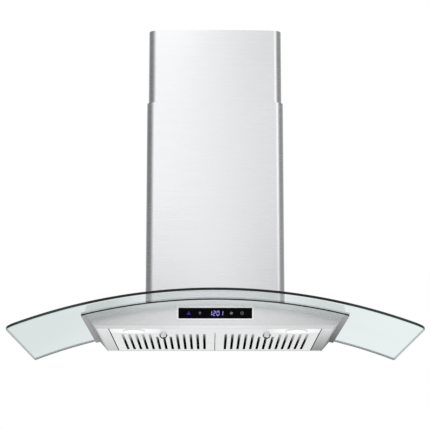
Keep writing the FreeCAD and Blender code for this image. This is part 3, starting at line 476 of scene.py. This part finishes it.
def body_coats():
    """Painted shade darkens the fascia to its ends, and painted lamp light glows on the lamp
    panel round its lamps.
    """
    fascia = brushed("fascia_steel", BODY_COLOUR, 0.2, ALONG_X)
    # painted shade: the fascia's steel gets darker towards its ends
    painted_shade_to_ends = along(0, 50 * MM, HALF_BODY, mirrored=True)
    coat(nodes["front_fascia"], shaded(fascia, (painted_shade_to_ends, 0.8)))
    # painted light: the lamp panel's steel glows round the lamps
    panel = brushed("lamp_panel_steel", BODY_COLOUR, 0.24, ALONG_X)
    coat(nodes["lamp_panel"], painted_lamp_glow(panel, *PAINTED_PANEL_GLOW))


def side_panel_coat(side, rear_shade_share):
    """Painted shade darkens a side panel to the rear, and outward on its flange."""
    panel = brushed(f"{side}_panel_steel", BODY_COLOUR, 0.2, ALONG_Y)
    # painted shade: darker towards the rear, and outward on the flange
    painted_shade_to_rear = along(1, fascia_lo.y, -fascia_lo.y)
    outward = along(0, HALF_BODY - FLANGE, HALF_BODY, mirrored=True)
    coat(nodes[f"{side}_side_panel"], shaded(panel, (painted_shade_to_rear, rear_shade_share), (outward, 0.6)))


def filter_coats(side):
    """Painted shade darkens a filter inside, more so to the rear, painted lamp light brightens it
    by the lamp beside it, and its latch is painted dark.
    """
    tray = f"filter_{side}_tray"
    hidden = hidden_faces(tray)
    steel = brushed(f"{side}_tray_steel", FILTER_COLOUR, 0.28, FILTER_LINES, FILTER_DEPTH)
    # painted shade inside the tray, deepest to the rear, with painted lamp light on its hidden
    # faces
    shaded(steel, (hidden, 0.3), (deep_inside(tray), 0.1))
    coat(nodes[tray], painted_lamp_glow(steel, *PAINTED_SLOT_GLOW, hidden))
    # painted shade on the baffles' upright faces and rear undersides, with painted lamp light on
    # them
    steel = brushed(
        f"{side}_baffle_steel", (0.85, 0.85, 0.845), 0.36, FILTER_LINES, FILTER_DEPTH
    )
    shaded(steel, (upright_faces, 0.35), (rearward_undersides, 0.04))
    coat(nodes[f"filter_{side}_baffles"], painted_lamp_glow(steel, *PAINTED_SLOT_GLOW))
    # painted shade: the latch is steel coloured near black, and dimmed edge-on
    steel = brushed(f"{side}_latch_painted_dark_steel", (0.12, 0.12, 0.125), 0.35, ALONG_X)
    Tree(steel).set(Specular_Tint=(0.3, 0.3, 0.3, 1))
    coat(nodes[f"filter_{side}_latch"], steel)


for name, cad in nodes.items():
    coat(cad, MATERIALS[SLOT_OF[name]])
body_coats()
side_panel_coat("left", 0.8)
side_panel_coat("right", 0.45)
filter_coats("left")
filter_coats("right")


# ---------------------------------------------------------------- mesh helpers

def piece(name, work, body, slot, *replaced, materials=None):
    """Turn a bmesh into a piece that rides on a body."""
    mesh = bpy.data.meshes.new(name)
    bmesh.ops.recalc_face_normals(work, faces=work.faces)
    work.to_mesh(mesh)
    work.free()
    obj = bpy.data.objects.new(name, mesh)
    scene.collection.objects.link(obj)
    for material in materials or [MATERIALS[slot]]:
        mesh.materials.append(material)
    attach(obj, body)
    if replaced:
        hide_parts(*replaced)
    return obj


def smooth(mesh, angle=35):
    """Smooth shading, with edges sharper than the angle kept sharp."""
    mesh.polygons.foreach_set("use_smooth", [True] * len(mesh.polygons))
    mesh.set_sharp_from_angle(angle=math.radians(angle))


def skin(work, loops):
    """Faces from each closed loop of vertices to the next, and one over each end."""
    for near, far in zip(loops, loops[1:]):
        count = len(near)
        for i in range(count):
            j = (i + 1) % count
            work.faces.new((near[i], near[j], far[j], far[i]))
    work.faces.new(loops[0][::-1])
    work.faces.new(loops[-1])


# ---------------------------------------------------------------- glass canopy

# The CAD sheet's own arch, corners and chimney hole.
ARCH_RADIUS = 1247 * MM
ARCH_Z = glass_hi.z - GLASS_THICK - ARCH_RADIUS
FRONT_CORNER = 22 * MM
REAR_CORNER = 8 * MM
HOLE_CORNER = 12 * MM
HOLE_X = 150 * MM
HOLE_Y = 128 * MM

# Even columns from mid width to a side, a corner's own, the least gap between the two, and the
# faces in one column by strip.
COLUMNS = 75
CORNER_STEPS = 12
CORNER_GAP = 2.2 * MM
STRIPS = {"front": 14, "middle": 10, "rear": 6}
RIM_BEVEL = 0.8 * MM


def corner_inset(x, edge, radius):
    """How far a rounded corner pulls an outline in at x."""
    past = min(max(abs(x) - (edge - radius), 0), radius)
    return radius - math.sqrt(radius * radius - past * past)


def canopy_columns():
    """Places across the glass, closer together at its own corners and its chimney hole's."""
    half = glass_hi.x
    turns = [math.radians(90 * i / CORNER_STEPS) for i in range(CORNER_STEPS + 1)]
    corners = ((half, FRONT_CORNER), (half, REAR_CORNER), (HOLE_X, HOLE_CORNER))
    bends = [edge - r + r * math.sin(turn) for edge, r in corners for turn in turns]
    plain = [i * half / COLUMNS for i in range(COLUMNS + 1)]
    right = {round(x, 6) for x in bends}
    right.update(x for x in plain if min(abs(x - bend) for bend in bends) > CORNER_GAP)
    return sorted(right | {-x for x in right})


def canopy_column(x, level):
    """Points from front to rear, by strip, on the glass's lower (0) or upper (1) surface."""
    z = ARCH_Z + math.sqrt((ARCH_RADIUS + level * GLASS_THICK) ** 2 - x * x)
    front = glass_lo.y + corner_inset(x, glass_hi.x, FRONT_CORNER)
    rear = glass_hi.y - corner_inset(x, glass_hi.x, REAR_CORNER)
    hole = HOLE_Y - corner_inset(x, HOLE_X, HOLE_CORNER)
    ends = {"front": (front, -hole), "middle": (-hole, hole), "rear": (hole, rear)}
    if abs(x) < HOLE_X - 1e-6:
        del ends["middle"]
    points = {}
    for strip, (near, far) in ends.items():
        step = (far - near) / STRIPS[strip]
        points[strip] = [Vector((x, near + step * i, z)) for i in range(STRIPS[strip] + 1)]
    return points


def close_rims(work):
    """Faces from the lower surface's open edges up to the upper surface's."""
    def place(vert):
        return round(vert.co.x * 1e6), round(vert.co.y * 1e6)

    rims = [edge for edge in work.edges if len(edge.link_faces) == 1]
    stacks = {}
    for edge in rims:
        for end in edge.verts:
            stacks.setdefault(place(end), set()).add(end)
    for edge in rims:
        near, far = edge.verts
        others = [next(v for v in stacks[place(end)] if v is not end) for end in (near, far)]
        if near.co.z < others[0].co.z:
            work.faces.new((near, far, others[1], others[0]))


def canopy():
    """The glass as one arched sheet, with a finer arch than the CAD mesh and softened rims."""
    work = bmesh.new()
    made = {}

    def vert(point):
        key = tuple(round(c * 1e6) for c in point)
        if key not in made:
            made[key] = work.verts.new(point)
        return made[key]

    columns = canopy_columns()
    for x0, x1 in zip(columns, columns[1:]):
        for level in (0, 1):
            first, second = canopy_column(x0, level), canopy_column(x1, level)
            for strip in (s for s in STRIPS if s in first and s in second):
                a, b = first[strip], second[strip]
                for i in range(STRIPS[strip]):
                    loop = [vert(a[i]), vert(b[i]), vert(b[i + 1]), vert(a[i + 1])]
                    work.faces.new(loop if level else loop[::-1])
    close_rims(work)
    bmesh.ops.recalc_face_normals(work, faces=work.faces)
    work.normal_update()
    sharp = [edge for edge in work.edges if edge.calc_face_angle() > math.radians(50)]
    bmesh.ops.bevel(work, geom=sharp, offset=RIM_BEVEL, segments=2, profile=0.5, affect="EDGES")
    work.normal_update()
    for face in work.faces:
        middle = face.calc_center_median()
        out = Vector((middle.x, 0, middle.z - ARCH_Z)).normalized()
        face.material_index = int(abs(face.normal.dot(out)) < 0.9)
    sheet = piece(
        "canopy", work, "hood", "canopy_glass", "glass_canopy",
        materials=[MATERIALS["canopy_glass"], canopy_edge()],
    )
    smooth(sheet.data, 40)


# ---------------------------------------------------------------- control panel marks

SEGMENTS = {"0": "abcdef", "1": "bc", "2": "abged"}
DIGIT_LEAN = 0.1
PRINT_LIFT = 0.02 * MM      # from the touch glass to the back of a mark
PRINT_THICK = 0.12 * MM


def seven_segment(digit, centre, width, height):
    """Outlines of one digit's tapered bars, leaning a little."""
    bar = 0.17 * height
    gap = 0.05 * height
    x, z = width / 2, height / 2
    ends = {
        "a": ((-x, z), (x, z)), "b": ((x, z), (x, 0)), "c": ((x, 0), (x, -z)),
        "d": ((-x, -z), (x, -z)), "e": ((-x, 0), (-x, -z)), "f": ((-x, z), (-x, 0)),
        "g": ((-x, 0), (x, 0)),
    }
    outlines = []
    for letter in SEGMENTS[digit]:
        start, stop = (Vector(end) for end in ends[letter])
        run = (stop - start).normalized()
        start, stop = start + run * gap, stop - run * gap
        side = Vector((-run.y, run.x)) * bar / 2
        tip = run * bar / 2
        corners = (
            start, start + tip - side, stop - tip - side,
            stop, stop - tip + side, start + tip + side,
        )
        outlines.append([(centre[0] + p.x + DIGIT_LEAN * p.y, centre[1] + p.y) for p in corners])
    return outlines


def ring(radius, count=28):
    """Points round a circle."""
    turns = [math.tau * i / count for i in range(count)]
    return [(radius * math.cos(turn), radius * math.sin(turn)) for turn in turns]


def ribbon(path, width, closed=False):
    """Outlines of a flat line of constant width along 2-D points."""
    points = [Vector(p) for p in path]
    count = len(points)
    left, right = [], []
    for i, here in enumerate(points):
        before = points[(i - 1) % count] if closed or i else here
        after = points[(i + 1) % count] if closed or i < count - 1 else here
        run = (after - before).normalized()
        side = Vector((-run.y, run.x)) * width / 2
        left.append(here + side)
        right.append(here - side)
    pairs = [(i, (i + 1) % count) for i in range(count if closed else count - 1)]
    return [[left[i], right[i], right[j], left[j]] for i, j in pairs]


def chimney_outline():
    return [[
        (-1.2, 4.0), (1.2, 4.0), (1.4, 0.9), (4.1, -2.4),
        (4.1, -3.6), (-4.1, -3.6), (-4.1, -2.4), (-1.4, 0.9),
    ]]


def bulb_outlines():
    turns = [math.radians(-50 + 280 * i / 20) for i in range(21)]
    bulb = [(2.6 * math.cos(turn), 0.9 + 2.6 * math.sin(turn)) for turn in turns]
    base = [[(-1.3, z), (1.3, z), (1.3, z + 0.7), (-1.3, z + 0.7)] for z in (-2.4, -3.5)]
    return [bulb] + base


def blade_outlines():
    blade = [(1.9 + 1.8 * u, 0.9 + 1.15 * v) for u, v in ring(1.0, 12)]
    spins = [Matrix.Rotation(math.tau * turn / 4, 2) for turn in range(4)]
    return [[spin @ Vector(point) for point in blade] for spin in spins]


def clock_outlines():
    hands = ribbon([(0.0, 0.0), (0.0, 1.9)], 0.7) + ribbon([(0.0, 0.0), (1.4, 0.0)], 0.7)
    return ribbon(ring(3.1), 1.3, closed=True) + hands


def panel_marks():
    """Clock digits and four generic symbols, printed a hair proud of the touch glass."""
    lo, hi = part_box("touch_panel")
    mid_z = (lo.z + hi.z) / 2
    height = hi.z - lo.z
    unit = height / 24

    def printed(name, outlines, material, at=0.0, scale=1.0):
        """A piece of flat outlines, scaled and then placed at a distance from mid width."""
        work = bmesh.new()
        back, front = lo.y + PRINT_LIFT, lo.y + PRINT_LIFT - PRINT_THICK
        for outline in outlines:
            places = [(at + u * scale, mid_z + v * scale) for u, v in outline]
            skin(work, [[work.verts.new((x, y, z)) for x, z in places] for y in (back, front)])
        piece(name, work, "hood", "black_glass", materials=[material])

    tall, wide, pitch = 0.42 * height, 0.21 * height, 0.35 * height
    digits = []
    for i, digit in enumerate("1201"):
        digits += seven_segment(digit, ((i - 1.5) * pitch, -0.2 * MM), wide, tall)
    printed("clock_digits", digits, lit_mark("display_digits", (0.34, 0.30, 1.0), 1.35), 1.9 * MM)

    blue = lit_mark("display_blue", (0.012, 0.002, 0.42))
    gray = lit_mark("display_gray", (0.11, 0.11, 0.105))
    bright = lit_mark("display_bright", (0.24, 0.23, 0.22))
    pale = lit_mark("display_timer", (0.12, 0.12, 0.115))
    printed("icon_power", chimney_outline(), blue, -58.7 * MM, unit)
    printed("icon_lamp", bulb_outlines(), gray, -33.9 * MM, unit)
    printed("icon_fan", blade_outlines(), bright, 35.8 * MM, unit)
    printed("icon_timer", clock_outlines(), pale, 59.3 * MM, unit)


# ---------------------------------------------------------------- screws and springs

HEAD_STEPS = 28
HEAD_DOME = ((1.0, 0.0), (1.0, 0.35), (0.93, 0.68), (0.74, 0.92), (0.42, 1.0))  # reach, height
HEAD_RADIUS = 3.5 * MM
WIRE_RADIUS = 0.4 * MM
SPRING_TURNS = 5
TURN_STEPS = 24
WIRE_STEPS = 8


def screw_head(work, centre, out, tall):
    """A low domed head with a cross recess, facing out along +X or -X."""
    spin = Matrix.Rotation(math.radians(90 * out), 3, "Y")
    turns = [math.tau * (i + 0.5) / HEAD_STEPS for i in range(HEAD_STEPS)]

    def loop(reaches, height):
        places = [
            Vector((reach * math.cos(turn), reach * math.sin(turn), 0)) * HEAD_RADIUS
            for reach, turn in zip(reaches, turns)
        ]
        rise = Vector((0, 0, tall * height))
        return [work.verts.new(centre + spin @ (place + rise)) for place in places]

    cross = [
        0.34 if min(abs(math.sin(turn)), abs(math.cos(turn))) < 0.3 else 0.15 for turn in turns
    ]
    dome = [loop([reach] * HEAD_STEPS, height) for reach, height in HEAD_DOME]
    skin(work, dome + [loop(cross, 0.97), loop(cross, 0.42)])


def cover_screws(node, body, cover):
    """Domed screws in place of the plain CAD ones, at the same places."""
    lo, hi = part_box(node)
    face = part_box(cover)[1].x
    heights = sorted({round(lo.z + HEAD_RADIUS, 5), round(hi.z - HEAD_RADIUS, 5)})
    work = bmesh.new()
    for out in (-1, 1):
        for y in (lo.y + HEAD_RADIUS, hi.y - HEAD_RADIUS):
            for z in heights:
                screw_head(work, Vector((out * face, y, z)), out, hi.x - face)
    smooth(piece(node + "_heads", work, body, "screw_steel", node).data)


def return_spring(side):
    """A latch's coil spring, at its rest length, on a mesh of its own."""
    node = f"filter_{side}_spring"
    lo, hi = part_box(node)
    middle = (lo + hi) / 2
    radius = (hi.x - lo.x) / 2 - WIRE_RADIUS
    rise = hi.y - lo.y - 2 * WIRE_RADIUS
    steps = SPRING_TURNS * TURN_STEPS
    back = Vector((0, 1, 0))
    around = [math.tau * i / WIRE_STEPS for i in range(WIRE_STEPS)]
    work = bmesh.new()
    loops = []
    for step in range(steps + 1):
        turn = math.tau * step / TURN_STEPS
        out = Vector((math.cos(turn), 0, math.sin(turn)))
        centre = middle + radius * out
        centre.y = lo.y + WIRE_RADIUS + rise * step / steps
        loops.append([
            work.verts.new(centre + WIRE_RADIUS * (math.cos(a) * out + math.sin(a) * back))
            for a in around
        ])
    skin(work, loops)
    made = piece(node + "_coil", work, f"filter_{side}", "wire_steel", node)
    smooth(made.data)
    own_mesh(made)


canopy()
panel_marks()
return_spring("left")
return_spring("right")
cover_screws("upper_cover_screws", "ceiling_frame", "upper_cover_front")
cover_screws("lower_cover_screws", "lower_cover", "lower_cover_front")


# ---------------------------------------------------------------- studio, floor, camera

# Brightness of the studio by heading in degrees, 0 in front of the hood and 90 to its right:
# for rays that point well up, for nearly level ones, and for ones that point down.
STUDIO_HIGH = (
    (-180, 0.60), (-132, 0.36), (-95, 0.20), (-68, 0.20), (-45, 0.36), (-27, 0.75), (-18, 1.25),
    (-12, 1.42), (-6, 1.30), (0, 1.13), (5, 1.06), (9, 1.02), (12, 0.84), (15, 0.86), (21, 1.5),
    (34, 1.45), (44, 0.75), (60, 0.36), (84, 0.26), (114, 0.36), (140, 0.5), (180, 0.60),
)
STUDIO_LOW = (
    (-180, 0.42), (-120, 0.30), (-60, 0.22), (-9, 0.18), (-5, 0.36), (-2.5, 0.66), (0, 0.98),
    (2.5, 0.86), (5, 0.54), (9, 0.33), (60, 0.36), (120, 0.36), (180, 0.42),
)
STUDIO_BELOW = (
    (-180, 0.99), (-150, 0.95), (-110, 0.62), (-60, 0.55), (0, 0.8), (60, 0.6), (110, 0.62),
    (150, 0.95), (180, 0.97),
)
HALF_FLOOR = 4.0
FLOOR_DROP = 1.6        # from the hood's lowest point

# The camera stands this far left of mid width, in front of the glass and below its arch.
CAMERA_LEFT = 0.011
CAMERA_AHEAD = 3.3615
CAMERA_BELOW = 0.5285
CAMERA_PITCH = 0.2033
CAMERA_YAW = 0.003


def world():
    """White seen directly; in reflections, a studio with a bright front and gray side walls."""
    scene.world = bpy.data.worlds.new("studio")
    tree = Graph(scene.world)
    across, back, up = tree.axes("Generated")
    heading = tree.maths("ARCTAN2", across, tree.maths("MULTIPLY", back, -1.0))
    turn = tree.rising(heading, -math.pi, math.pi)

    def walls(stops):
        """Brightness all round, from its stops by heading."""
        made = tree.add("ValToRGB", {0: turn})
        elements = made.color_ramp.elements
        while len(elements) > 1:
            elements.remove(elements[-1])
        for number, (degrees, level) in enumerate(stops):
            place = (degrees + 180) / 360
            element = elements[0] if number == 0 else elements.new(place)
            element.position = place
            element.color = (level * 0.995, level, level * 1.008, 1)
        return made.outputs[0]

    # From the walls' foot to the ceiling, each layer takes over as a ray points further up.
    lower = tree.tint(tree.rising(up, -0.11, -0.06), walls(STUDIO_BELOW), walls(STUDIO_LOW))
    high = walls(STUDIO_HIGH)
    dimmed = tree.tint(1.0, high, (0.84, 0.84, 0.84), blend_type="MULTIPLY")
    walled = tree.tint(tree.rising(up, 0.13, 0.155), lower, high)
    topped = tree.tint(tree.rising(up, 0.19, 0.33), walled, dimmed)
    whole = tree.tint(tree.rising(up, 0.34, 0.5), topped, (0.62, 0.62, 0.625))
    seen = tree.tint(tree.add("LightPath").outputs["Is Camera Ray"], whole, (1, 1, 1))
    background = tree.nodes["Background"]
    tree.link(seen, background.inputs["Color"])
    background.inputs["Strength"].default_value = 1.0


def floor():
    """A plain pale floor, clear from below so that it doesn't hide the hood's underside."""
    work = bmesh.new()
    bmesh.ops.create_grid(work, x_segments=8, y_segments=8, size=HALF_FLOOR)
    mesh = bpy.data.meshes.new("floor")
    work.to_mesh(mesh)
    work.free()
    ground = bpy.data.objects.new("floor", mesh)
    scene.collection.objects.link(ground)
    ground.location.z = CAD_BOX[0].z - FLOOR_DROP
    tree = Tree.new(
        "floor_pale", (0.86, 0.86, 0.86), 0.8, Emission_Color=(1, 1, 1, 1), Emission_Strength=0.4
    )
    cloudy = tree.tint(tree.noise(2.0, 3.0), (0.84, 0.84, 0.84), (0.88, 0.88, 0.88))
    tree.feed(Base_Color=cloudy)
    below = tree.add("NewGeometry").outputs["Backfacing"]
    clear = tree.add("BsdfTransparent").outputs[0]
    one_sided = tree.add("MixShader", {0: below, 1: tree.shader.outputs[0], 2: clear})
    tree.surface(one_sided.outputs[0])
    coat(ground, tree.mat)


def aimed(name, data, place, direction):
    """A camera or light that stands at a place and looks in a direction."""
    made = bpy.data.objects.new(name, data)
    scene.collection.objects.link(made)
    made.location = place
    made.rotation_mode = "QUATERNION"
    made.rotation_quaternion = direction.to_track_quat("-Z", "Y")
    return made


def camera():
    """The photograph's angle: in front, below the canopy, looking up a little."""
    data = bpy.data.cameras.new("camera")
    data.sensor_width = 36.0
    data.lens = 132.7
    data.clip_end = 50.0
    apex = glass_hi.z - GLASS_THICK
    place = (-CAMERA_LEFT, glass_lo.y - CAMERA_AHEAD, apex - CAMERA_BELOW)
    level = math.cos(CAMERA_PITCH)
    ahead = Vector(
        (math.sin(CAMERA_YAW) * level, math.cos(CAMERA_YAW) * level, math.sin(CAMERA_PITCH))
    )
    scene.camera = aimed("camera", data, place, ahead)


def overhead():
    """One soft light above the front left, which the camera doesn't see."""
    data = bpy.data.lights.new("overhead", "AREA")
    data.shape = "RECTANGLE"
    data.size, data.size_y = 2.4, 2.0
    data.energy = 6
    place = Vector((-0.8, -1.6, CAD_BOX[1].z + 1.6))
    middle = (CAD_BOX[0] + CAD_BOX[1]) / 2
    aimed("overhead", data, place, middle - place).visible_camera = False


world()
floor()
camera()
overhead()
scene.view_settings.view_transform = "Standard"

bpy.context.view_layer.update()
